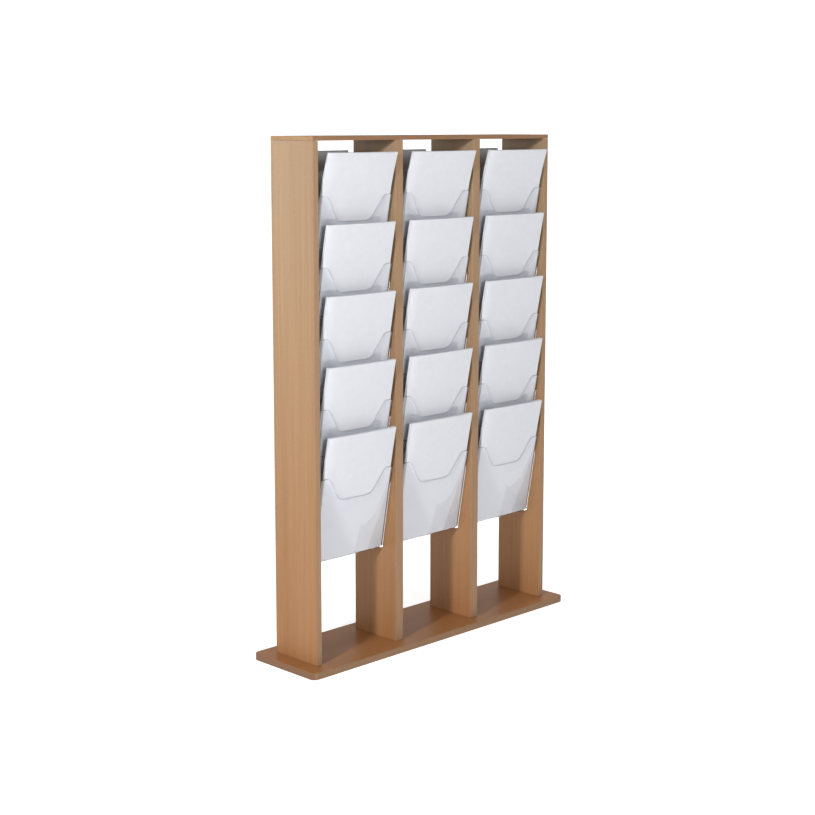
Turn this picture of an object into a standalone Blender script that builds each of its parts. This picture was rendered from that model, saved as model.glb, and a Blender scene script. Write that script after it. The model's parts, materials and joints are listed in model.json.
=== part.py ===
"""Double-sided brochure rack: a free-standing beech frame with three bays of clear pockets.

Units are metres and +Z is up. The origin is on the floor under the middle of the base board.
The front faces -Y and the left end panel is at -X. Four uprights stand on a base board and
carry a thin top board. Each side has three bays of five pockets. Every pocket leans its mouth
outwards, so that a row's leaflets stand in front of the pocket above. A pocket's back sheet is
wider than its box, and the two tongues that this leaves sit in stopped grooves in the uprights.
The leaflets in a pocket lift out along the pocket's lean.
"""

import math

import bmesh
import bpy
from mathutils import Matrix, Vector

# Boards
RACK_HEIGHT = 1.200
UPRIGHT_DEPTH = 0.140
BAY_WIDTH = 0.234
END_PANEL = 0.016
INNER_UPRIGHT = 0.024
TOP_BOARD = 0.010
BASE_BOARD = 0.016
BASE_SIDE_OVERHANG = 0.040
BASE_FRONT_OVERHANG = 0.036
BASE_CORNER = 0.014
EDGE_ROUND = 0.0008
JOINT_GAP = 0.0003

# Pockets, in a frame whose origin is at the middle of the pocket's lower back edge:
# x across the bay, y towards the back of the pocket, z up its back sheet
LEAN = math.radians(10.0)
ROWS = 5
ROW_PITCH = 0.1575
LOWEST_POCKET = 0.2438
POCKET_BACK_Y = 0.0060
POCKET_WIDTH = 0.224
POCKET_DEPTH = 0.026
SHEET = 0.0025
WING_HEIGHT = 0.207
MOUTH_HEIGHT = 0.145
BACK_HEIGHT = 0.250
MOUTH_HALF_BOTTOM = 0.050
MOUTH_HALF_TOP = 0.087
MOUTH_RADIUS = 0.028
WING_RADIUS = 0.012
TONGUE = 0.0095
GROOVE_DEPTH = 0.005

# Leaflets, A4. They stand towards the right of a pocket and droop forwards above its wings,
# most of all in the top row of the front
LEAFLET_WIDTH = 0.210
LEAFLET_LENGTH = 0.297
STACK_THICKNESS = 0.008
STACK_SHIFT = 0.0035
STACK_SEGMENTS = 12
DROOP = 0.004
TOP_ROW_DROOP = 0.010

# Connector bolts, one up through the base into each upright
BOLT_RADIUS = 0.003
BOLT_HEAD_RADIUS = 0.0075
BOLT_HEAD_HEIGHT = 0.0045
BOLT_LENGTH = 0.055
BOLT_RECESS = 0.001
SOCKET_RADIUS = 0.0023
SOCKET_DEPTH = 0.003
ROUND_STEPS = 24

OVERSHOOT = 0.002
MERGE = 0.00001

BAY_PITCH = BAY_WIDTH + INNER_UPRIGHT
RACK_WIDTH = 3 * BAY_WIDTH + 2 * INNER_UPRIGHT + 2 * END_PANEL
BAY_CENTRES = {"left": -BAY_PITCH, "middle": 0.0, "right": BAY_PITCH}
SIDES = {"front": -1, "rear": 1}
# name, centre along X, thickness, and the directions in which a bay adjoins it
UPRIGHTS = (
    ("left_end_panel", -(RACK_WIDTH - END_PANEL) / 2, END_PANEL, (1,)),
    ("left_inner_upright", -BAY_PITCH / 2, INNER_UPRIGHT, (-1, 1)),
    ("right_inner_upright", BAY_PITCH / 2, INNER_UPRIGHT, (-1, 1)),
    ("right_end_panel", (RACK_WIDTH - END_PANEL) / 2, END_PANEL, (-1,)),
)
UPRIGHT_FOOT = BASE_BOARD + JOINT_GAP
UPRIGHT_TOP = RACK_HEIGHT - TOP_BOARD - JOINT_GAP


def clear_scene():
    """Remove every object and its data."""
    for obj in list(bpy.data.objects):
        bpy.data.objects.remove(obj, do_unlink=True)
    for mesh in list(bpy.data.meshes):
        bpy.data.meshes.remove(mesh)


def make_collection(name):
    """A new collection in the scene."""
    collection = bpy.data.collections.new(name)
    bpy.context.scene.collection.children.link(collection)
    return collection


def make_material(name, colour, roughness, alpha=1.0):
    """A Principled material."""
    material = bpy.data.materials.new(name)
    material.use_nodes = True
    shader = material.node_tree.nodes["Principled BSDF"]
    shader.inputs["Base Color"].default_value = (*colour, 1.0)
    shader.inputs["Roughness"].default_value = roughness
    shader.inputs["Metallic"].default_value = 0.0
    shader.inputs["Alpha"].default_value = alpha
    return material


def place(obj, collection, material=None):
    """Link an object to a collection and give it its material."""
    collection.objects.link(obj)
    if material and not obj.data.materials:
        obj.data.materials.append(material)
    return obj


def box_object(name, low, high):
    """A box between two corners, not yet in a collection."""
    low = Vector(low)
    high = Vector(high)
    shape = bmesh.new()
    bmesh.ops.create_cube(shape, size=1.0)
    bmesh.ops.scale(shape, vec=high - low, verts=shape.verts)
    bmesh.ops.translate(shape, vec=(low + high) / 2, verts=shape.verts)
    mesh = bpy.data.meshes.new(name)
    shape.to_mesh(mesh)
    shape.free()
    return bpy.data.objects.new(name, mesh)


def add_bevel(obj, width, segments):
    """Round the edges of an object that has unit scale."""
    bevel = obj.modifiers.new("edge_round", "BEVEL")
    bevel.width = width
    bevel.segments = segments
    bevel.limit_method = "ANGLE"
    bevel.angle_limit = math.radians(40)


def cut(obj, cutter, solver="EXACT"):
    """Cut one object with another. MANIFOLD suits cutters whose faces lie in one plane."""
    boolean = obj.modifiers.new(cutter.name, "BOOLEAN")
    boolean.operation = "DIFFERENCE"
    boolean.solver = solver
    boolean.object = cutter


def as_cutter(obj, cutters):
    """Make an object a hidden cutter."""
    cutters.objects.link(obj)
    obj.hide_render = True
    obj.display_type = "WIRE"
    return obj


def evaluated_mesh(obj, name):
    """The object's mesh with its modifiers, or a curve's mesh with its caps welded."""
    bpy.context.view_layer.update()
    graph = bpy.context.evaluated_depsgraph_get()
    mesh = bpy.data.meshes.new_from_object(obj.evaluated_get(graph))
    mesh.name = name
    shape = bmesh.new()
    shape.from_mesh(mesh)
    bmesh.ops.remove_doubles(shape, verts=shape.verts, dist=MERGE)
    shape.to_mesh(mesh)
    shape.free()
    return mesh


def fillet(before, corner, after, radius, steps):
    """Points of the arc that rounds a corner of an outline."""
    if radius == 0:
        return [corner]
    to_before = (before - corner).normalized()
    to_after = (after - corner).normalized()
    half_angle = to_before.angle(to_after) / 2
    reach = radius / math.tan(half_angle)
    centre = corner + (to_before + to_after).normalized() * radius / math.sin(half_angle)
    start = corner + to_before * reach - centre
    end = corner + to_after * reach - centre
    return [centre + start.slerp(end, step / steps).normalized() * radius for step in range(steps + 1)]


def extruded_outline(name, corners, half_thickness, collection):
    """A flat outline with rounded corners, in the XZ plane, as a mesh object."""
    points = [Vector((x, z)) for x, z, _ in corners]
    outline = []
    for index, (_, _, radius) in enumerate(corners):
        before = points[index - 1]
        after = points[(index + 1) % len(points)]
        outline += fillet(before, points[index], after, radius, 5)
    curve = bpy.data.curves.new(name, "CURVE")
    curve.dimensions = "2D"
    curve.fill_mode = "BOTH"
    curve.extrude = half_thickness
    spline = curve.splines.new("POLY")
    spline.points.add(len(outline) - 1)
    for point, flat in zip(spline.points, outline):
        point.co = (flat.x, flat.y, 0.0, 1.0)
    spline.use_cyclic_u = True
    source = bpy.data.objects.new(name + "_outline", curve)
    collection.objects.link(source)
    mesh = evaluated_mesh(source, name)
    bpy.data.objects.remove(source)
    mesh.transform(Matrix.Rotation(math.radians(90), 4, "X"))
    return bpy.data.objects.new(name, mesh)


def turned_object(name, profile):
    """A solid of revolution about Z from (radius, height) points, listed from top to bottom."""
    mesh = bpy.data.meshes.new(name)
    edges = [(i, i + 1) for i in range(len(profile) - 1)]
    mesh.from_pydata([(radius, 0.0, height) for radius, height in profile], edges, [])
    obj = bpy.data.objects.new(name, mesh)
    screw = obj.modifiers.new("turn", "SCREW")
    screw.axis = "Z"
    screw.steps = ROUND_STEPS
    screw.render_steps = ROUND_STEPS
    screw.use_merge_vertices = True
    screw.merge_threshold = MERGE
    return obj


def row_height(row):
    """How high the lower back edge of a row's pockets is."""
    return LOWEST_POCKET + ROW_PITCH * (ROWS - row)


def station_empty(name, side, bay, row, rack, collection):
    """An empty at a pocket's lower back edge, with its Z along the pocket's lean."""
    empty = bpy.data.objects.new(name, None)
    empty.empty_display_size = 0.05
    empty.location = (BAY_CENTRES[bay], SIDES[side] * POCKET_BACK_Y, row_height(row))
    empty.rotation_euler = (LEAN, 0.0, 0.0 if side == "front" else math.pi)
    empty.parent = rack
    collection.objects.link(empty)
    return empty


def station_matrix(side, row):
    """The pocket frame of a row, at the middle of a bay's width."""
    turn = Matrix.Rotation(0.0 if side == "front" else math.pi, 4, "Z")
    lean = Matrix.Rotation(LEAN, 4, "X")
    return Matrix.Translation((0.0, SIDES[side] * POCKET_BACK_Y, row_height(row))) @ turn @ lean


def make_pocket_mesh(scratch):
    """One pocket: a box open at the top, with a mouth cut in its front and a wider back sheet."""
    back_half = POCKET_WIDTH / 2 + TONGUE
    half = POCKET_WIDTH / 2
    over = OVERSHOOT
    block = box_object("pocket_block", (-back_half, -POCKET_DEPTH, 0.0), (back_half, 0.0, BACK_HEIGHT))
    scratch.objects.link(block)
    for name, inner, outer in (("left", -half, -back_half - over), ("right", half, back_half + over)):
        relief = box_object(
            "tongue_relief_" + name,
            (min(inner, outer), -POCKET_DEPTH - over, -over),
            (max(inner, outer), -SHEET, BACK_HEIGHT + over),
        )
        cut(block, as_cutter(relief, scratch), "MANIFOLD")
    cavity = box_object(
        "pocket_cavity",
        (-half + SHEET, -POCKET_DEPTH + SHEET, SHEET),
        (half - SHEET, -SHEET, BACK_HEIGHT + over),
    )
    cut(block, as_cutter(cavity, scratch), "MANIFOLD")
    top = BACK_HEIGHT + over
    corners = (
        (-back_half - over, top, 0.0),
        (-back_half - over, WING_HEIGHT, 0.0),
        (-MOUTH_HALF_TOP, WING_HEIGHT, WING_RADIUS),
        (-MOUTH_HALF_BOTTOM, MOUTH_HEIGHT, MOUTH_RADIUS),
        (MOUTH_HALF_BOTTOM, MOUTH_HEIGHT, MOUTH_RADIUS),
        (MOUTH_HALF_TOP, WING_HEIGHT, WING_RADIUS),
        (back_half + over, WING_HEIGHT, 0.0),
        (back_half + over, top, 0.0),
    )
    front_face = -POCKET_DEPTH - over
    mouth = extruded_outline("pocket_mouth", corners, (-SHEET - front_face) / 2, scratch)
    mouth.data.transform(Matrix.Translation((0.0, (-SHEET + front_face) / 2, 0.0)))
    cut(block, as_cutter(mouth, scratch), "MANIFOLD")
    return evaluated_mesh(block, "pocket")


def make_stack_mesh(name, droop):
    """One pocketful of A4 leaflets on the origin. What stands above the wings droops forwards."""
    shape = bmesh.new()
    bmesh.ops.create_cube(shape, size=1.0)
    bmesh.ops.translate(shape, vec=(0.0, -0.5, 0.5), verts=shape.verts)
    bmesh.ops.scale(shape, vec=(LEAFLET_WIDTH, STACK_THICKNESS, LEAFLET_LENGTH), verts=shape.verts)
    long_edges = [e for e in shape.edges if abs(e.verts[0].co.z - e.verts[1].co.z) > MERGE]
    bmesh.ops.subdivide_edges(shape, edges=long_edges, cuts=STACK_SEGMENTS - 1)
    for vert in shape.verts:
        above = max(0.0, vert.co.z - WING_HEIGHT) / (LEAFLET_LENGTH - WING_HEIGHT)
        vert.co.y -= droop * above**1.5
    mesh = bpy.data.meshes.new(name)
    shape.to_mesh(mesh)
    shape.free()
    return mesh


def discard(scratch):
    """Remove the objects that only served to make shared meshes."""
    for obj in list(scratch.objects):
        bpy.data.objects.remove(obj, do_unlink=True)
    bpy.data.collections.remove(scratch)


def make_groove_cutter(name, face_x, direction, cutters):
    """The stopped grooves of one upright face, ten slanted slots that take the pockets' tongues."""
    shape = bmesh.new()
    depth = GROOVE_DEPTH
    middle_x = face_x - direction * (depth - OVERSHOOT) / 2
    size = (depth + OVERSHOOT, SHEET + 2 * JOINT_GAP, BACK_HEIGHT + 2 * JOINT_GAP)
    for side in SIDES:
        for row in range(1, ROWS + 1):
            made = bmesh.ops.create_cube(shape, size=1.0)["verts"]
            bmesh.ops.scale(shape, vec=size, verts=made)
            bmesh.ops.translate(shape, vec=(0.0, -SHEET / 2, BACK_HEIGHT / 2), verts=made)
            bmesh.ops.transform(shape, matrix=station_matrix(side, row), verts=made)
            bmesh.ops.translate(shape, vec=(middle_x, 0.0, 0.0), verts=made)
    mesh = bpy.data.meshes.new(name)
    shape.to_mesh(mesh)
    shape.free()
    return as_cutter(bpy.data.objects.new(name, mesh), cutters)


def bolt_profile(gap):
    """Half outline of a countersunk bolt, top to bottom, grown by a gap all round."""
    radius = BOLT_RADIUS + gap
    tip = BOLT_RECESS + BOLT_LENGTH + gap
    neck = BOLT_RECESS + BOLT_HEAD_HEIGHT + gap
    return [(0.0, tip), (radius, tip), (radius, neck), (BOLT_HEAD_RADIUS + gap, BOLT_RECESS)]


def make_bolt_mesh(scratch):
    """A countersunk bolt with a hexagon socket in its head."""
    bolt = turned_object("bolt_blank", bolt_profile(0.0) + [(0.0, BOLT_RECESS)])
    scratch.objects.link(bolt)
    shape = bmesh.new()
    bmesh.ops.create_cone(
        shape,
        cap_ends=True,
        segments=6,
        radius1=SOCKET_RADIUS,
        radius2=SOCKET_RADIUS,
        depth=2 * SOCKET_DEPTH,
    )
    bmesh.ops.translate(shape, vec=(0.0, 0.0, BOLT_RECESS), verts=shape.verts)
    mesh = bpy.data.meshes.new("bolt_socket")
    shape.to_mesh(mesh)
    shape.free()
    cut(bolt, as_cutter(bpy.data.objects.new("bolt_socket", mesh), scratch))
    made = evaluated_mesh(bolt, "base_bolt")
    made.shade_smooth()
    made.set_sharp_from_angle(angle=math.radians(30))
    return made


def make_base_board(parts, cutters, wood, rack):
    """The base board, with rounded corners and a countersunk hole under each upright."""
    half_length = RACK_WIDTH / 2 + BASE_SIDE_OVERHANG
    half_depth = UPRIGHT_DEPTH / 2 + BASE_FRONT_OVERHANG
    board = box_object(
        "base_board", (-half_length, -half_depth, 0.0), (half_length, half_depth, BASE_BOARD)
    )
    shape = bmesh.new()
    shape.from_mesh(board.data)
    upright_edges = [e for e in shape.edges if abs(e.verts[0].co.z - e.verts[1].co.z) > MERGE]
    bmesh.ops.bevel(
        shape,
        geom=upright_edges,
        offset=BASE_CORNER,
        offset_type="OFFSET",
        segments=6,
        profile=0.5,
        affect="EDGES",
    )
    shape.to_mesh(board.data)
    shape.free()
    add_bevel(board, EDGE_ROUND, 2)
    place(board, parts, wood)
    board.parent = rack
    hole_profile = bolt_profile(JOINT_GAP)
    hole_profile += [(hole_profile[-1][0], -OVERSHOOT), (0.0, -OVERSHOOT)]
    for name, centre_x, _, _ in UPRIGHTS:
        hole = turned_object("bolt_hole_" + name, hole_profile)
        hole.location.x = centre_x
        cut(board, as_cutter(hole, cutters))
    return board


def make_uprights(parts, cutters, wood, rack):
    """The end panels and inner uprights, each grooved on every face that adjoins a bay."""
    for name, centre_x, thickness, bay_directions in UPRIGHTS:
        upright = box_object(
            name,
            (-thickness / 2, -UPRIGHT_DEPTH / 2, UPRIGHT_FOOT),
            (thickness / 2, UPRIGHT_DEPTH / 2, UPRIGHT_TOP),
        )
        upright.location.x = centre_x
        add_bevel(upright, EDGE_ROUND, 2)
        place(upright, parts, wood)
        upright.parent = rack
        for direction in bay_directions:
            face_x = centre_x + direction * thickness / 2
            cutter_name = f"grooves_{name}_{'right' if direction > 0 else 'left'}"
            cut(upright, make_groove_cutter(cutter_name, face_x, direction, cutters))
        cut(upright, bpy.data.objects["bolt_hole_" + name])


def make_top_board(parts, wood, rack):
    """The thin board across the tops of the uprights, flush with their outer faces."""
    half_length = RACK_WIDTH / 2
    half_depth = UPRIGHT_DEPTH / 2
    board = box_object(
        "top_board",
        (-half_length, -half_depth, RACK_HEIGHT - TOP_BOARD),
        (half_length, half_depth, RACK_HEIGHT),
    )
    add_bevel(board, EDGE_ROUND, 2)
    place(board, parts, wood)
    board.parent = rack


def make_bolts(parts, steel, rack, mesh):
    """One connector bolt up through the base into the middle of each upright."""
    for number, (_, centre_x, _, _) in enumerate(UPRIGHTS, start=1):
        bolt = place(bpy.data.objects.new(f"base_bolt_{number}", mesh), parts, steel)
        bolt.location.x = centre_x
        bolt.parent = rack


def make_leaflets(name, station, shift, mesh, parts, paper):
    """A pocketful of leaflets on the pocket's floor, leaning against the inside of its front."""
    leaflets = place(bpy.data.objects.new(name, mesh), parts, paper)
    leaflets.parent = station
    front_wall = -POCKET_DEPTH + SHEET
    leaflets.location = (shift, front_wall + JOINT_GAP + STACK_THICKNESS, SHEET + JOINT_GAP)


def make_stations(parts, acrylic, paper, rack, pocket_mesh, stack, drooping_stack):
    """A pocket at every row of every bay on both sides, with the leaflets that stand in it."""
    for side in SIDES:
        for bay in BAY_CENTRES:
            for row in range(1, ROWS + 1):
                label = f"{bay}_{row}"
                station = station_empty(f"{side}_station_{label}", side, bay, row, rack, parts)
                pocket_name = f"{side}_pocket_{label}"
                pocket = place(bpy.data.objects.new(pocket_name, pocket_mesh), parts, acrylic)
                pocket.parent = station
                stack_mesh = drooping_stack if side == "front" and row == 1 else stack
                shift = -SIDES[side] * STACK_SHIFT
                if side == "front" or row == 1:
                    name = f"{side}_leaflets_{label}"
                    make_leaflets(name, station, shift, stack_mesh, parts, paper)


def main():
    clear_scene()
    parts = make_collection("brochure_rack")
    cutters = make_collection("cutters")
    scratch = make_collection("scratch")
    wood = make_material("beech", (0.53, 0.33, 0.18), 0.45)
    acrylic = make_material("clear_acrylic", (0.90, 0.92, 0.94), 0.08, alpha=0.3)
    paper = make_material("leaflet_paper", (0.86, 0.86, 0.90), 0.6)
    steel = make_material("zinc_steel", (0.62, 0.62, 0.60), 0.35)
    steel.node_tree.nodes["Principled BSDF"].inputs["Metallic"].default_value = 1.0
    rack = bpy.data.objects.new("rack", None)
    parts.objects.link(rack)
    pocket_mesh = make_pocket_mesh(scratch)
    stack = make_stack_mesh("leaflets", DROOP)
    drooping_stack = make_stack_mesh("drooping_leaflets", TOP_ROW_DROOP)
    bolt_mesh = make_bolt_mesh(scratch)
    discard(scratch)
    make_base_board(parts, cutters, wood, rack)
    make_uprights(parts, cutters, wood, rack)
    make_top_board(parts, wood, rack)
    make_bolts(parts, steel, rack, bolt_mesh)
    make_stations(parts, acrylic, paper, rack, pocket_mesh, stack, drooping_stack)


main()
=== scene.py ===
"""Looks for the brochure rack: wood for its boards, clear moulded pockets, folded leaflets."""

import json
import math
import random

import bmesh
import bpy
from mathutils import Matrix, Vector


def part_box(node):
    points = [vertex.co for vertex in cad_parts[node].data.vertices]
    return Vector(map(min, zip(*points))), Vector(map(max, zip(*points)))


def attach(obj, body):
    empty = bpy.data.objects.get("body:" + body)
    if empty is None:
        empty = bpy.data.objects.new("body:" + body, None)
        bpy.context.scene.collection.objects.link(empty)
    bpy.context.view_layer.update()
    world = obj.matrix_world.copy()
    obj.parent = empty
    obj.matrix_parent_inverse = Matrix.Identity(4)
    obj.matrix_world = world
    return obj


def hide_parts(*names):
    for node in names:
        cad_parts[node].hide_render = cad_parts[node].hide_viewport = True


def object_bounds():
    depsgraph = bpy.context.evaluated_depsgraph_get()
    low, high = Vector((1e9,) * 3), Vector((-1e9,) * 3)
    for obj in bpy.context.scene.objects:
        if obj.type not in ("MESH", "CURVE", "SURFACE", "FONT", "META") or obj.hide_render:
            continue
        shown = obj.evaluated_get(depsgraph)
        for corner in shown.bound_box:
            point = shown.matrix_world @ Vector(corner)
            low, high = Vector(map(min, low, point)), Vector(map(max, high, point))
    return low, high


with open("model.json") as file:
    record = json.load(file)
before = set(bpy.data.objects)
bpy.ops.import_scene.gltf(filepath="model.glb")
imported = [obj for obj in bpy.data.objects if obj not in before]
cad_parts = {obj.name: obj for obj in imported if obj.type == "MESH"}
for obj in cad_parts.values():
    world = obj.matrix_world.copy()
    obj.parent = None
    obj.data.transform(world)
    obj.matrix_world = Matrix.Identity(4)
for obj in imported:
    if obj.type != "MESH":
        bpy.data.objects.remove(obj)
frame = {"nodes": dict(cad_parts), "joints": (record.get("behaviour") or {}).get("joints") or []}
cad_low, cad_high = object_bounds()

# Pocket, in its own frame: x across the bay, y towards its back, z up its back sheet
POCKET_WIDTH = 0.224
POCKET_DEPTH = 0.026
SHEET = 0.0025
BACK_HEIGHT = 0.250
TONGUE = 0.0095
WING_HEIGHT = 0.203
MOUTH_HEIGHT = 0.145
MOUTH_HALF_BOTTOM = 0.050
MOUTH_HALF_TOP = 0.087
MOUTH_RADIUS = 0.028
WING_RADIUS = 0.012
OUTER_RADIUS = 0.0032
INNER_RADIUS = 0.0009
FILLET_STEPS = 8
OUTER_STEPS = 5
INNER_STEPS = 3
# The rim is rounded where faces meet at more than this angle, and satin, greyed with painted shade,
# where a face's normal has less than this much of y
RIM_ROUND = 0.0004
RIM_STEPS = 2
RIM_ANGLE = math.radians(50)
RIM_SLOPE = 0.95
POCKET_SHARP = math.radians(42)
# How far a cutter reaches past what it cuts
OVERSHOOT = 0.002
# An edge that rises more than this is upright, and one below the other is at the bottom
UPRIGHT_EDGE = 0.1
BOTTOM_EDGE = 0.01

# Leaflets: folded A4 brochures with their folds on the left
LEAFLET_WIDTH = 0.206
LEAFLET_LENGTH = 0.297
STACK_THICKNESS = 0.008
STACK_SHIFT = 0.0028
STACK_GAP = 0.0003
BROCHURES = 12
PAGE = 0.00022
FOLD_GAP = 0.00007
FOLD_STEP = 36
COLUMNS = 8
LEVELS = 12
STACK_SHARP = math.radians(40)
# The upper parts droop forwards, bow out in the middle, and curve more towards the top
DROOP = 0.002
TOP_ROW_DROOP = 0.009
CROWN = 0.0024
CURVE = 1.5
# How untidy a stack is: aside in metres, aside for each metre up, and lower in metres
SLIP = 0.0011
TILT = 0.0022
SHORT = 0.0009
SEED = 7

# Boards: how deep the colour of an edge goes, how near the base's ends it changes, the depth of
# the uprights, and colours at the height of the uprights' lower and upper ends. On the uprights
# the upper colours are lighter and paler than the lower ones: the wood's own tone, with a painted
# sheen at the top and painted light falloff that darkens it lower down.
EDGE_BAND = 0.0005
END_REACH = 0.006
UPRIGHT_DEPTH = 0.140
# In each upright pair the change from lower to upper colour is painted light: painted sheen and
# painted falloff
UPRIGHT_FACES_AND_PAINTED_SHEEN = ((0.312, 0.150, 0.062), (0.338, 0.232, 0.139))
UPRIGHT_EDGES_AND_PAINTED_SHEEN = ((0.300, 0.182, 0.104), (0.335, 0.215, 0.126))
TOP_FACES = ((0.330, 0.200, 0.105), (0.330, 0.200, 0.105))
TOP_EDGES = ((0.280, 0.152, 0.080), (0.280, 0.152, 0.080))
BASE_FACES = ((0.335, 0.146, 0.053), (0.335, 0.146, 0.053))
BASE_EDGES = ((0.238, 0.141, 0.077), (0.238, 0.141, 0.077))
BASE_END = (0.182, 0.097, 0.054)

# Noises: scale for each metre, detail, roughness and distortion. A wood noise has two scales,
# across the grain and along it.
FIGURE = ((9.0, 0.9), 3.0, 0.55, 0.6)
STREAKS = ((150.0, 3.0), 4.0, 0.6, 0.0)
FLECKS = ((900.0, 160.0), 1.0, 0.5, 0.0)
PAPER_MOTTLE = (60.0, 4.0, 0.6, 0.0)
PAPER_FIBRE = (2600.0, 2.0, 0.5, 0.0)
PLASTIC_HAZE = (45.0, 3.0, 0.5, 0.0)
RIM_HAZE = (90.0, 3.0, 0.5, 0.0)
STEEL_GRAIN = (900.0, 3.0, 0.5, 0.0)
CLOTH_MOTTLE = (0.7, 2.0, 0.5, 0.0)

# Wood
X_AXIS = 0
Z_AXIS = 2
FIGURE_TINTS = (
    (0.28, (0.92, 0.89, 0.85)),
    (0.50, (1.0, 1.0, 1.0)),
    (0.72, (1.06, 1.08, 1.11)),
)
STREAK_TINTS = ((0.30, (0.92, 0.90, 0.87)), (0.70, (1.05, 1.06, 1.07)))
FLECK_COLOUR = (0.160, 0.073, 0.032)
FLECK_SPAN = (0.62, 0.72)
FLECK_STRENGTH = 0.35
WOOD_IOR = 1.47
WOOD_SPECULAR = 0.2

# Paper, plastic, steel and studio cloth
PAPER_TINTS = ((0.3, (0.612, 0.622, 0.654)), (0.7, (0.640, 0.650, 0.682)))
PLASTIC_TINT = (0.95, 0.958, 0.975)
PLASTIC_SHADE = (0.96, 0.962, 0.97)
PLASTIC_IOR = 1.49
# The rim's grey tint and lower clarity are painted shade for the dark edge line of the mouth; the
# satin is the cut edge's own finish
RIM_PAINTED_SHADE_TINT = (0.50, 0.51, 0.56)
RIM_CLARITY = 0.35
STEEL_TINTS = ((0.3, (0.52, 0.52, 0.50)), (0.7, (0.66, 0.66, 0.63)))
CLOTH_TINTS = ((0.2, (0.90, 0.90, 0.90)), (0.8, (0.92, 0.92, 0.92)))
CLOTH_ROUGHNESS = 0.9

# The middle part of a noise, and the roughness at its two ends
NOISE_SPAN = (0.3, 0.7)
WOOD_ROUGHNESS = (0.38, 0.50)
PAPER_ROUGHNESS = (0.50, 0.58)
PLASTIC_ROUGHNESS = (0.015, 0.05)
RIM_ROUGHNESS = (0.28, 0.40)
STEEL_ROUGHNESS = (0.26, 0.42)

# Relief: distance in metres, and strength
WOOD_RELIEF = (0.0004, 0.12)
PAPER_RELIEF = (0.0001, 0.08)
PLASTIC_RELIEF = (0.0006, 0.05)
RIM_RELIEF = (0.0004, 0.08)
STEEL_RELIEF = (0.0001, 0.1)

# Studio sweep: how it glows beside the rack and at a reach behind it, where it is seen, and
# what share of that shines on other things
SWEEP_RADIUS = 8.0
SWEEP_WALL = 4.0
SWEEP_RINGS = 4
SWEEP_STEPS = 16
SWEEP_SIDES = 72
SWEEP_DROP = 0.0005
SWEEP_WELD = 0.0001
SWEEP_NEAR_GLOW = 0.60
SWEEP_FAR_GLOW = 0.90
SWEEP_REACH = 6.0
SWEEP_SPILL = 0.28
SKY = 0.30
WHITE = (1.0, 1.0, 1.0, 1.0)

# Lamps: name, place, height on the rack's axis that it is aimed at, width and power
LAMPS = (
    ("key", (-3.75, -1.06, 1.75), 0.6, 0.35, 104.0),
    ("rear", (-2.1, 3.4, 1.35), 0.7, 1.2, 20.0),
    ("right", (3.9, 0.7, 1.45), 0.7, 1.2, 36.0),
    ("front", (-1.35, -3.6, 1.35), 0.7, 1.2, 54.0),
)

# Camera, in front of the rack's left side: a 71 mm lens, shifted a little. Its focal length and
# shift are in pixels of the render.
IMAGE_SIZE = 815
FOCAL_PIXELS = 1608.02
SHIFT_PIXELS = -49.5
SENSOR_WIDTH = 36.0
CAMERA = Vector((-2.70509, -2.68483, 1.22666))
YAW = math.radians(44.8621)
PITCH = math.radians(8.2958)


# ---------------------------------------------------------------- materials


def new_material(name):
    """A material with its node tree and its Principled shader."""
    material = bpy.data.materials.new(name)
    material.use_nodes = True
    return material, material.node_tree, material.node_tree.nodes["Principled BSDF"]


def node(tree, kind, **settings):
    """A node with its properties set."""
    made = tree.nodes.new(kind)
    for key, value in settings.items():
        setattr(made, key, value)
    return made


def link(tree, source, target):
    tree.links.new(source, target)


def feed(tree, value, socket):
    """Link a socket, or set it to a number or a colour."""
    if isinstance(value, bpy.types.NodeSocket):
        link(tree, value, socket)
    elif isinstance(value, tuple):
        socket.default_value = (*value, 1.0)
    else:
        socket.default_value = value


def calculate(tree, operation, *values):
    """The result of a Math node. A comparison gives 1 where it holds, else 0."""
    made = node(tree, "ShaderNodeMath", operation=operation)
    for value, socket in zip(values, made.inputs):
        feed(tree, value, socket)
    return made.outputs[0]


def object_place(tree):
    """The X, Y and Z of the place on the object, in metres."""
    place = node(tree, "ShaderNodeTexCoord")
    parts = node(tree, "ShaderNodeSeparateXYZ")
    link(tree, place.outputs["Object"], parts.inputs["Vector"])
    return parts.outputs


def noise(tree, pattern, along=None):
    """Noise over the object, alike in all directions, or with its grain along one axis."""
    scale, detail, roughness, distortion = pattern
    across, lengthwise = (scale, scale) if along is None else scale
    scales = [lengthwise if axis == along else across for axis in range(3)]
    place = node(tree, "ShaderNodeTexCoord")
    mapping = node(tree, "ShaderNodeMapping")
    mapping.inputs["Scale"].default_value = scales
    link(tree, place.outputs["Object"], mapping.inputs["Vector"])
    made = node(tree, "ShaderNodeTexNoise")
    made.inputs["Scale"].default_value = 1.0
    made.inputs["Detail"].default_value = detail
    made.inputs["Roughness"].default_value = roughness
    made.inputs["Distortion"].default_value = distortion
    link(tree, mapping.outputs["Vector"], made.inputs["Vector"])
    return made.outputs["Fac"]


def ramp(tree, factor, stops):
    """A colour ramp through (position, colour) stops."""
    made = node(tree, "ShaderNodeValToRGB")
    points = made.color_ramp.elements
    while len(points) < len(stops):
        points.new(0.5)
    for point, (position, colour) in zip(points, stops):
        point.position = position
        point.color = (*colour, 1.0)
    link(tree, factor, made.inputs["Fac"])
    return made.outputs["Color"]


def mix_colour(tree, factor, first, second, blend="MIX"):
    """A Mix node for colours, whose colour sockets come after those of its other types."""
    made = node(tree, "ShaderNodeMix", data_type="RGBA", blend_type=blend)
    for index, value in ((0, factor), (6, first), (7, second)):
        feed(tree, value, made.inputs[index])
    return made.outputs[2]


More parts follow.
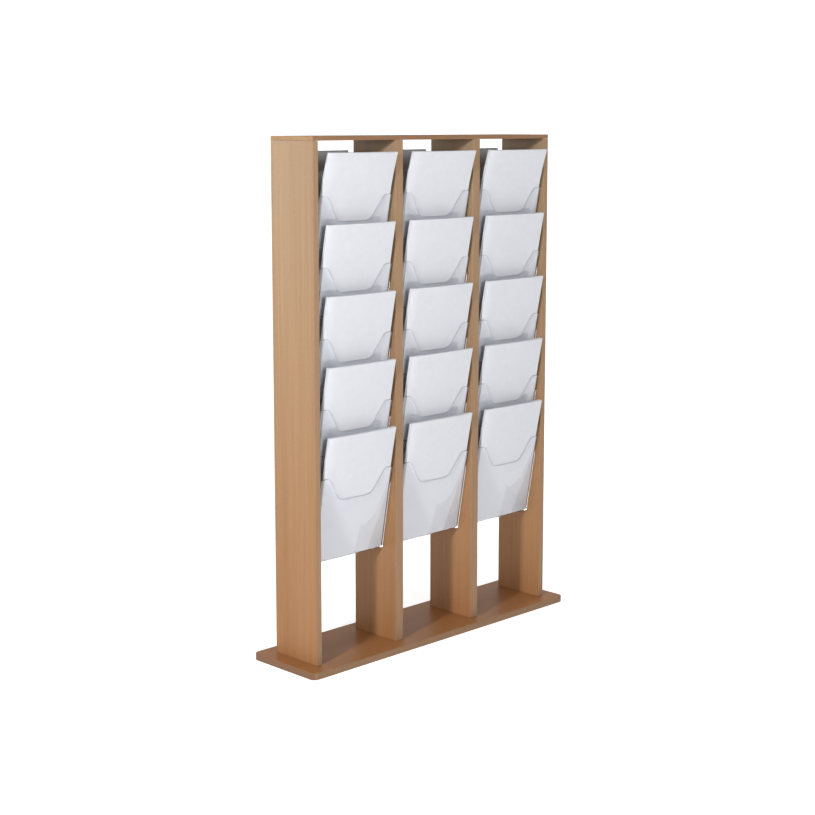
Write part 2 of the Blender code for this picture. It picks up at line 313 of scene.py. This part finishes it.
def remap(tree, value, low, high, to_low, to_high):
    made = node(tree, "ShaderNodeMapRange")
    made.inputs["From Min"].default_value = low
    made.inputs["From Max"].default_value = high
    made.inputs["To Min"].default_value = to_low
    made.inputs["To Max"].default_value = to_high
    link(tree, value, made.inputs["Value"])
    return made.outputs["Result"]


def texture(tree, shader, pattern, roughness, relief_pattern, relief):
    """Let the roughness follow one pattern and the relief another, or the same."""
    link(tree, remap(tree, pattern, *NOISE_SPAN, *roughness), shader.inputs["Roughness"])
    made = node(tree, "ShaderNodeBump")
    made.inputs["Distance"].default_value, made.inputs["Strength"].default_value = relief
    link(tree, relief_pattern, made.inputs["Height"])
    link(tree, made.outputs["Normal"], shader.inputs["Normal"])


def wood_material(name, along, heights, faces, edges, flat=None):
    """Lacquered beech with its grain along one axis and short ray flecks.

    The faces and the front and rear edge bands each go from one colour at the lower height to
    another at the upper height; on the uprights this change is painted light, a painted sheen at
    the top and painted falloff lower down. For the base, flat gives its top, half its length and
    the colour of its ends, and its edge band runs all round.
    """
    material, tree, shader = new_material(name)
    x, y, z = object_place(tree)
    figure = noise(tree, FIGURE, along)
    streaks = noise(tree, STREAKS, along)
    flecks = noise(tree, FLECKS, along)
    # Blend by height: on the uprights this paints light, a painted sheen at the top and painted
    # falloff lower down
    height = remap(tree, z, *heights, 0.0, 1.0)
    colour = mix_colour(tree, height, *faces)
    colour = mix_colour(tree, 1.0, colour, ramp(tree, figure, FIGURE_TINTS), "MULTIPLY")
    streaky = ramp(tree, streaks, STREAK_TINTS)
    colour = mix_colour(tree, 1.0, colour, streaky, "MULTIPLY")
    fleck_mask = remap(tree, flecks, *FLECK_SPAN, 0.0, FLECK_STRENGTH)
    colour = mix_colour(tree, fleck_mask, colour, FLECK_COLOUR)
    edge_colour = mix_colour(tree, height, *edges)
    if flat:
        board_top, half_length, end_colour = flat
        band = calculate(tree, "LESS_THAN", z, board_top - EDGE_BAND)
        length = calculate(tree, "ABSOLUTE", x)
        at_end = calculate(tree, "GREATER_THAN", length, half_length - END_REACH)
        edge_colour = mix_colour(tree, at_end, edge_colour, end_colour)
    else:
        depth = calculate(tree, "ABSOLUTE", y)
        band = calculate(tree, "GREATER_THAN", depth, UPRIGHT_DEPTH / 2 - EDGE_BAND)
    banded = mix_colour(tree, 1.0, streaky, edge_colour, "MULTIPLY")
    colour = mix_colour(tree, band, colour, banded)
    link(tree, colour, shader.inputs["Base Color"])
    shader.inputs["IOR"].default_value = WOOD_IOR
    shader.inputs["Specular IOR Level"].default_value = WOOD_SPECULAR
    texture(tree, shader, streaks, WOOD_ROUGHNESS, streaks, WOOD_RELIEF)
    return material


def paper_material():
    """Coated white paper with a faint cool tint and fibre mottle."""
    material, tree, shader = new_material("paper")
    mottle = noise(tree, PAPER_MOTTLE)
    fibre = noise(tree, PAPER_FIBRE)
    link(tree, ramp(tree, mottle, PAPER_TINTS), shader.inputs["Base Color"])
    texture(tree, shader, mottle, PAPER_ROUGHNESS, fibre, PAPER_RELIEF)
    return material


def acrylic_material():
    """Clear plastic. Lamps shine through it, a little dimmed, instead of leaving caustics."""
    material, tree, shader = new_material("clear_plastic")
    shader.inputs["Base Color"].default_value = (*PLASTIC_TINT, 1.0)
    shader.inputs["Transmission Weight"].default_value = 1.0
    shader.inputs["IOR"].default_value = PLASTIC_IOR
    haze = noise(tree, PLASTIC_HAZE)
    texture(tree, shader, haze, PLASTIC_ROUGHNESS, haze, PLASTIC_RELIEF)
    clear = node(tree, "ShaderNodeBsdfTransparent")
    clear.inputs["Color"].default_value = (*PLASTIC_SHADE, 1.0)
    path = node(tree, "ShaderNodeLightPath").outputs
    lit_through = calculate(tree, "MAXIMUM", path["Is Shadow Ray"], path["Is Diffuse Ray"])
    mix = node(tree, "ShaderNodeMixShader")
    for source, socket in zip((lit_through, shader.outputs[0], clear.outputs[0]), mix.inputs):
        link(tree, source, socket)
    link(tree, mix.outputs[0], tree.nodes["Material Output"].inputs["Surface"])
    return material


def rim_material():
    """The cut rim of a pocket's mouth: the same plastic, but satin, and grey as painted shade that
    draws the dark line along the mouth's edge.
    """
    material, tree, shader = new_material("satin_plastic_rim_painted_shade")
    shader.inputs["Base Color"].default_value = (*RIM_PAINTED_SHADE_TINT, 1.0)
    shader.inputs["Transmission Weight"].default_value = RIM_CLARITY
    shader.inputs["IOR"].default_value = PLASTIC_IOR
    haze = noise(tree, RIM_HAZE)
    texture(tree, shader, haze, RIM_ROUGHNESS, haze, RIM_RELIEF)
    return material


def steel_material():
    """Zinc-plated steel with a slight grain."""
    material, tree, shader = new_material("zinc_steel")
    fine = noise(tree, STEEL_GRAIN)
    link(tree, ramp(tree, fine, STEEL_TINTS), shader.inputs["Base Color"])
    shader.inputs["Metallic"].default_value = 1.0
    texture(tree, shader, fine, STEEL_ROUGHNESS, fine, STEEL_RELIEF)
    return material


def studio_material():
    """Matt white studio cloth, a little luminous, and more so far behind the rack.

    It glows in full where it is seen, in a reflection or through plastic too, and less where it
    shines on other things: the background is white, and the rack isn't flooded with light.
    """
    material, tree, shader = new_material("studio_white")
    mottle = noise(tree, CLOTH_MOTTLE)
    link(tree, ramp(tree, mottle, CLOTH_TINTS), shader.inputs["Base Color"])
    shader.inputs["Roughness"].default_value = CLOTH_ROUGHNESS
    shader.inputs["Emission Color"].default_value = WHITE
    x, y, _ = object_place(tree)
    behind = calculate(tree, "ADD", x, y)
    glow = remap(tree, behind, 0.0, SWEEP_REACH, SWEEP_NEAR_GLOW, SWEEP_FAR_GLOW)
    path = node(tree, "ShaderNodeLightPath").outputs
    seen = calculate(tree, "MAXIMUM", path["Is Camera Ray"], path["Is Transmission Ray"])
    seen = calculate(tree, "MAXIMUM", seen, path["Is Glossy Ray"])
    share = remap(tree, seen, 0.0, 1.0, SWEEP_SPILL, 1.0)
    link(tree, calculate(tree, "MULTIPLY", glow, share), shader.inputs["Emission Strength"])
    return material


# ---------------------------------------------------------------- shapes


def new_object(name, data):
    """An object in the scene."""
    obj = bpy.data.objects.new(name, data)
    bpy.context.scene.collection.objects.link(obj)
    return obj


def new_mesh(name, shape):
    """Turn a bmesh into a mesh."""
    mesh = bpy.data.meshes.new(name)
    shape.to_mesh(mesh)
    shape.free()
    return mesh


def box_mesh(low, high):
    """A box between two corners as a bmesh."""
    low = Vector(low)
    high = Vector(high)
    shape = bmesh.new()
    bmesh.ops.create_cube(shape, size=1.0)
    bmesh.ops.scale(shape, vec=high - low, verts=shape.verts)
    bmesh.ops.translate(shape, vec=(low + high) / 2, verts=shape.verts)
    return shape


def round_edges(shape, chosen, radius, segments):
    """Round some of a bmesh's edges."""
    edges = [e for e in shape.edges if chosen(e.verts[0].co, e.verts[1].co)]
    bmesh.ops.bevel(
        shape,
        geom=edges,
        offset=radius,
        offset_type="OFFSET",
        segments=segments,
        profile=0.5,
        affect="EDGES",
    )


def boolean(obj, other, operation):
    made = obj.modifiers.new(other.name, "BOOLEAN")
    made.operation = operation
    made.solver = "MANIFOLD"
    made.object = other


def fillet(before, corner, after, radius):
    """Points of the arc that rounds a corner of an outline."""
    if radius == 0:
        return [corner]
    to_before = (before - corner).normalized()
    to_after = (after - corner).normalized()
    half_angle = to_before.angle(to_after) / 2
    reach = radius / math.tan(half_angle)
    centre = corner + (to_before + to_after).normalized() * radius / math.sin(half_angle)
    start = corner + to_before * reach - centre
    end = corner + to_after * reach - centre
    shares = [step / FILLET_STEPS for step in range(FILLET_STEPS + 1)]
    return [centre + start.slerp(end, share).normalized() * radius for share in shares]


def mouth_cutter():
    """What is cut away from the pocket's front: the mouth and all that stands above the wings."""
    edge = POCKET_WIDTH / 2 + TONGUE + OVERSHOOT
    top = BACK_HEIGHT + OVERSHOOT
    corners = (
        (-edge, top, 0.0),
        (-edge, WING_HEIGHT, 0.0),
        (-MOUTH_HALF_TOP, WING_HEIGHT, WING_RADIUS),
        (-MOUTH_HALF_BOTTOM, MOUTH_HEIGHT, MOUTH_RADIUS),
        (MOUTH_HALF_BOTTOM, MOUTH_HEIGHT, MOUTH_RADIUS),
        (MOUTH_HALF_TOP, WING_HEIGHT, WING_RADIUS),
        (edge, WING_HEIGHT, 0.0),
        (edge, top, 0.0),
    )
    points = [Vector((x, z)) for x, z, _ in corners]
    outline = []
    for index, (_, _, radius) in enumerate(corners):
        after = points[(index + 1) % len(points)]
        outline += fillet(points[index - 1], points[index], after, radius)
    shape = bmesh.new()
    front = -POCKET_DEPTH - OVERSHOOT
    ring = [shape.verts.new((p.x, front, p.y)) for p in outline]
    face = shape.faces.new(ring)
    grown = bmesh.ops.extrude_face_region(shape, geom=[face])
    moved = [v for v in grown["geom"] if isinstance(v, bmesh.types.BMVert)]
    bmesh.ops.translate(shape, vec=(0.0, -SHEET - front, 0.0), verts=moved)
    bmesh.ops.recalc_face_normals(shape, faces=shape.faces)
    return shape


def pocket_mesh():
    """The moulded pocket: a box with rounded corners on a wider back sheet.

    Its front is cut down to a mouth between two wings.
    """
    half = POCKET_WIDTH / 2
    wide = half + TONGUE
    front = -POCKET_DEPTH

    def on_inner_corner(a, b):
        upright = abs(a.z - b.z) > UPRIGHT_EDGE
        low = a.z < BOTTOM_EDGE and b.z < BOTTOM_EDGE
        return upright or low

    def on_outer_corner(a, b):
        at_front = a.y < front / 2 and b.y < front / 2
        return at_front and on_inner_corner(a, b)

    shell = box_mesh((-half, front, 0.0), (half, 0.0, BACK_HEIGHT))
    round_edges(shell, on_outer_corner, OUTER_RADIUS, OUTER_STEPS)
    block = new_object("pocket_block", new_mesh("pocket_block", shell))
    sheet = box_mesh((-wide, -SHEET, 0.0), (wide, 0.0, BACK_HEIGHT))
    back = new_object("pocket_back", new_mesh("pocket_back", sheet))
    hollow = box_mesh(
        (-half + SHEET, front + SHEET, SHEET), (half - SHEET, -SHEET, BACK_HEIGHT + OVERSHOOT)
    )
    round_edges(hollow, on_inner_corner, INNER_RADIUS, INNER_STEPS)
    cavity = new_object("pocket_cavity", new_mesh("pocket_cavity", hollow))
    mouth = new_object("pocket_mouth", new_mesh("pocket_mouth", mouth_cutter()))
    boolean(block, back, "UNION")
    boolean(block, cavity, "DIFFERENCE")
    boolean(block, mouth, "DIFFERENCE")
    rounding = block.modifiers.new("rim_round", "BEVEL")
    rounding.width = RIM_ROUND
    rounding.segments = RIM_STEPS
    rounding.limit_method = "ANGLE"
    rounding.angle_limit = RIM_ANGLE
    mesh = applied(block)
    for helper in (block, back, cavity, mouth):
        bpy.data.objects.remove(helper)
    mesh.shade_smooth()
    mesh.set_sharp_from_angle(angle=POCKET_SHARP)
    return mesh


def applied(obj):
    """The object's mesh with its modifiers."""
    bpy.context.view_layer.update()
    graph = bpy.context.evaluated_depsgraph_get()
    mesh = bpy.data.meshes.new_from_object(obj.evaluated_get(graph))
    mesh.name = obj.name
    return mesh


def finish_rim(mesh, index):
    """Give the cut faces of the mouth, and their rounded edges, one of the mesh's materials."""
    for polygon in mesh.polygons:
        place = polygon.center
        in_front = place.y < SHEET - POCKET_DEPTH
        above_bottom = place.z > MOUTH_HEIGHT - SHEET
        off_sides = abs(place.x) < POCKET_WIDTH / 2 - OUTER_RADIUS
        if in_front and above_bottom and off_sides and abs(polygon.normal.y) < RIM_SLOPE:
            polygon.material_index = index


def brochure_section(left, right, front, back):
    """Closed outline, seen from above, of a sheet folded once on its left."""
    outer = (back - front) / 2
    middle = (front + back) / 2
    inner = outer - PAGE
    spine = left + outer
    columns = [spine + (right - spine) * i / COLUMNS for i in range(COLUMNS + 1)]
    arc = [math.radians(a) for a in range(-90 - FOLD_STEP, -270, -FOLD_STEP)]
    outline = [(x, front) for x in reversed(columns)]
    outline += [(spine + outer * math.cos(a), middle + outer * math.sin(a)) for a in arc]
    outline += [(x, back) for x in columns]
    outline += [(x, back - PAGE) for x in reversed(columns)]
    outline += [(spine + inner * math.cos(a), middle + inner * math.sin(a)) for a in reversed(arc)]
    outline += [(x, front + PAGE) for x in columns]
    return outline


def share_above(height, start):
    """How far up the leaflets' free part a height is, from 0 at its start to 1 at the top."""
    return max(0.0, height - start) / (LEAFLET_LENGTH - start)


def stack_mesh(name, droop, rng):
    """A pocketful of folded leaflets, whose upper parts bow forwards in the middle of the mouth."""
    shape = bmesh.new()
    half = LEAFLET_WIDTH / 2
    pitch = STACK_THICKNESS / BROCHURES
    for index in range(BROCHURES):
        front = -STACK_THICKNESS + pitch * index
        slip = rng.uniform(-SLIP, SLIP) if index else 0.0
        tilt = rng.uniform(-TILT, TILT)
        short = rng.uniform(0.0, SHORT) if index else 0.0
        section = brochure_section(-half, half, front, front + pitch - FOLD_GAP)
        rings = []
        for level in range(LEVELS + 1):
            height = (LEAFLET_LENGTH - short) * level / LEVELS
            drooped = droop * share_above(height, WING_HEIGHT) ** CURVE
            crown = CROWN * share_above(height, MOUTH_HEIGHT) ** CURVE
            ring = []
            for x, y in section:
                bow = crown * (1.0 - (x / half) ** 2)
                ring.append(shape.verts.new((x + slip + tilt * height, y - drooped - bow, height)))
            rings.append(ring)
        count = len(section)
        for low, high in zip(rings, rings[1:]):
            for i in range(count):
                j = (i + 1) % count
                shape.faces.new((low[i], low[j], high[j], high[i]))
        shape.faces.new(list(reversed(rings[0])))
        shape.faces.new(rings[-1])
    bmesh.ops.recalc_face_normals(shape, faces=shape.faces)
    mesh = new_mesh(name, shape)
    mesh.shade_smooth()
    mesh.set_sharp_from_angle(angle=STACK_SHARP)
    return mesh


# ---------------------------------------------------------------- the rack


def station(side, label):
    """A pocket's own frame, from the box of its CAD node and the slide of any leaflets."""
    low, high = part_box(f"{side}_pocket_{label}")
    axis = Vector(frame["joints"][0]["axis"])
    lean = math.atan2(abs(axis.y), abs(axis.z))
    at_front = side == "front"
    y = high.y if at_front else low.y
    z = low.z + POCKET_DEPTH * math.sin(lean)
    turn = Matrix.Rotation(0.0 if at_front else math.pi, 4, "Z")
    return Matrix.Translation(((low.x + high.x) / 2, y, z)) @ turn @ Matrix.Rotation(lean, 4, "X")


def finish_boards():
    """Veneer on the CAD boards: grain up the uprights, and along the base and the top."""
    base_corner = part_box("base_board")[1]
    flat = (base_corner.z, base_corner.x, BASE_END)
    heights = [corner.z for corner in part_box("left_end_panel")]
    upright = wood_material("beech_upright", Z_AXIS, heights, UPRIGHT_FACES_AND_PAINTED_SHEEN, UPRIGHT_EDGES_AND_PAINTED_SHEEN)
    finishes = {
        "panel": upright,
        "upright": upright,
        "top_board": wood_material("beech_top", X_AXIS, heights, TOP_FACES, TOP_EDGES),
        "base_board": wood_material("beech_base", X_AXIS, heights, BASE_FACES, BASE_EDGES, flat),
        "base_bolt": steel_material(),
    }
    for name, obj in frame["nodes"].items():
        for word, finish in finishes.items():
            if word in name:
                obj.data.materials.clear()
                obj.data.materials.append(finish)


def add_pockets():
    """One moulding, in place of every CAD pocket."""
    mesh = pocket_mesh()
    mesh.materials.clear()
    mesh.materials.append(acrylic_material())
    mesh.materials.append(rim_material())
    finish_rim(mesh, 1)
    for name in sorted(n for n in frame["nodes"] if "_pocket_" in n):
        side, label = name.split("_pocket_")
        pocket = new_object(name + "_moulding", mesh)
        pocket.matrix_world = station(side, label)
        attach(pocket, "rack")
        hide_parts(name)


def add_leaflets():
    """A stack of leaflets in place of each CAD stack, and on its body."""
    paper = paper_material()
    floor = SHEET + STACK_GAP
    rng = random.Random(SEED)
    for name in sorted(n for n in frame["nodes"] if "_leaflets_" in n):
        side, label = name.split("_leaflets_")
        at_front = side == "front"
        droop = TOP_ROW_DROOP if at_front and label.endswith("_1") else DROOP
        aside = STACK_SHIFT if at_front else -STACK_SHIFT
        shift = Matrix.Translation((aside, floor + STACK_THICKNESS - POCKET_DEPTH, floor))
        mesh = stack_mesh(name + "_paper", droop, rng)
        mesh.materials.append(paper)
        leaflets = new_object(name + "_stack", mesh)
        leaflets.matrix_world = station(side, label) @ shift
        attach(leaflets, name)
        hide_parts(name)


# ---------------------------------------------------------------- studio


def add_sweep():
    """A round studio floor that curves up into a low wall all round."""
    profile = [(SWEEP_RADIUS * ring / SWEEP_RINGS, 0.0) for ring in range(SWEEP_RINGS + 1)]
    for step in range(1, SWEEP_STEPS + 1):
        angle = math.radians(90) * step / SWEEP_STEPS
        radius = SWEEP_RADIUS + SWEEP_WALL * math.sin(angle)
        profile.append((radius, SWEEP_WALL * (1 - math.cos(angle))))
    shape = bmesh.new()
    verts = [shape.verts.new((radius, 0.0, height)) for radius, height in profile]
    edges = [shape.edges.new(pair) for pair in zip(verts, verts[1:])]
    bmesh.ops.spin(
        shape,
        geom=verts + edges,
        cent=(0.0, 0.0, 0.0),
        axis=(0.0, 0.0, 1.0),
        angle=math.tau,
        steps=SWEEP_SIDES,
        use_merge=True,
        use_duplicate=False,
    )
    bmesh.ops.remove_doubles(shape, verts=shape.verts, dist=SWEEP_WELD)
    bmesh.ops.recalc_face_normals(shape, faces=shape.faces)
    sweep = new_object("studio_sweep", new_mesh("studio_sweep", shape))
    sweep.location.z = cad_low.z - SWEEP_DROP
    sweep.data.shade_smooth()
    sweep.data.materials.append(studio_material())


def turn_to(obj, direction):
    """Point a lamp or a camera."""
    obj.rotation_mode = "QUATERNION"
    obj.rotation_quaternion = direction.to_track_quat("-Z", "Y")


def add_lights():
    """A faint even sky and round soft lamps."""
    world = bpy.data.worlds.new("studio")
    world.use_nodes = True
    background = world.node_tree.nodes["Background"]
    background.inputs["Color"].default_value = WHITE
    background.inputs["Strength"].default_value = SKY
    bpy.context.scene.world = world
    for name, place, aim_height, width, power in LAMPS:
        data = bpy.data.lights.new(name, "AREA")
        data.shape = "DISK"
        data.size = width
        data.energy = power
        lamp = new_object(name, data)
        lamp.location = place
        turn_to(lamp, Vector((0.0, 0.0, aim_height)) - Vector(place))


def add_camera():
    """A camera at the photograph's viewing angle, tipped down a little and not rolled."""
    data = bpy.data.cameras.new("camera")
    data.sensor_width = SENSOR_WIDTH
    data.lens = FOCAL_PIXELS / IMAGE_SIZE * SENSOR_WIDTH
    data.shift_y = SHIFT_PIXELS / IMAGE_SIZE
    camera = new_object("camera", data)
    camera.location = CAMERA
    level = math.cos(PITCH)
    turn_to(camera, Vector((math.sin(YAW) * level, math.cos(YAW) * level, -math.sin(PITCH))))
    bpy.context.scene.camera = camera
    bpy.context.scene.view_settings.view_transform = "Standard"


finish_boards()
add_pockets()
add_leaflets()
add_sweep()
add_lights()
add_camera()

bpy.context.view_layer.update()
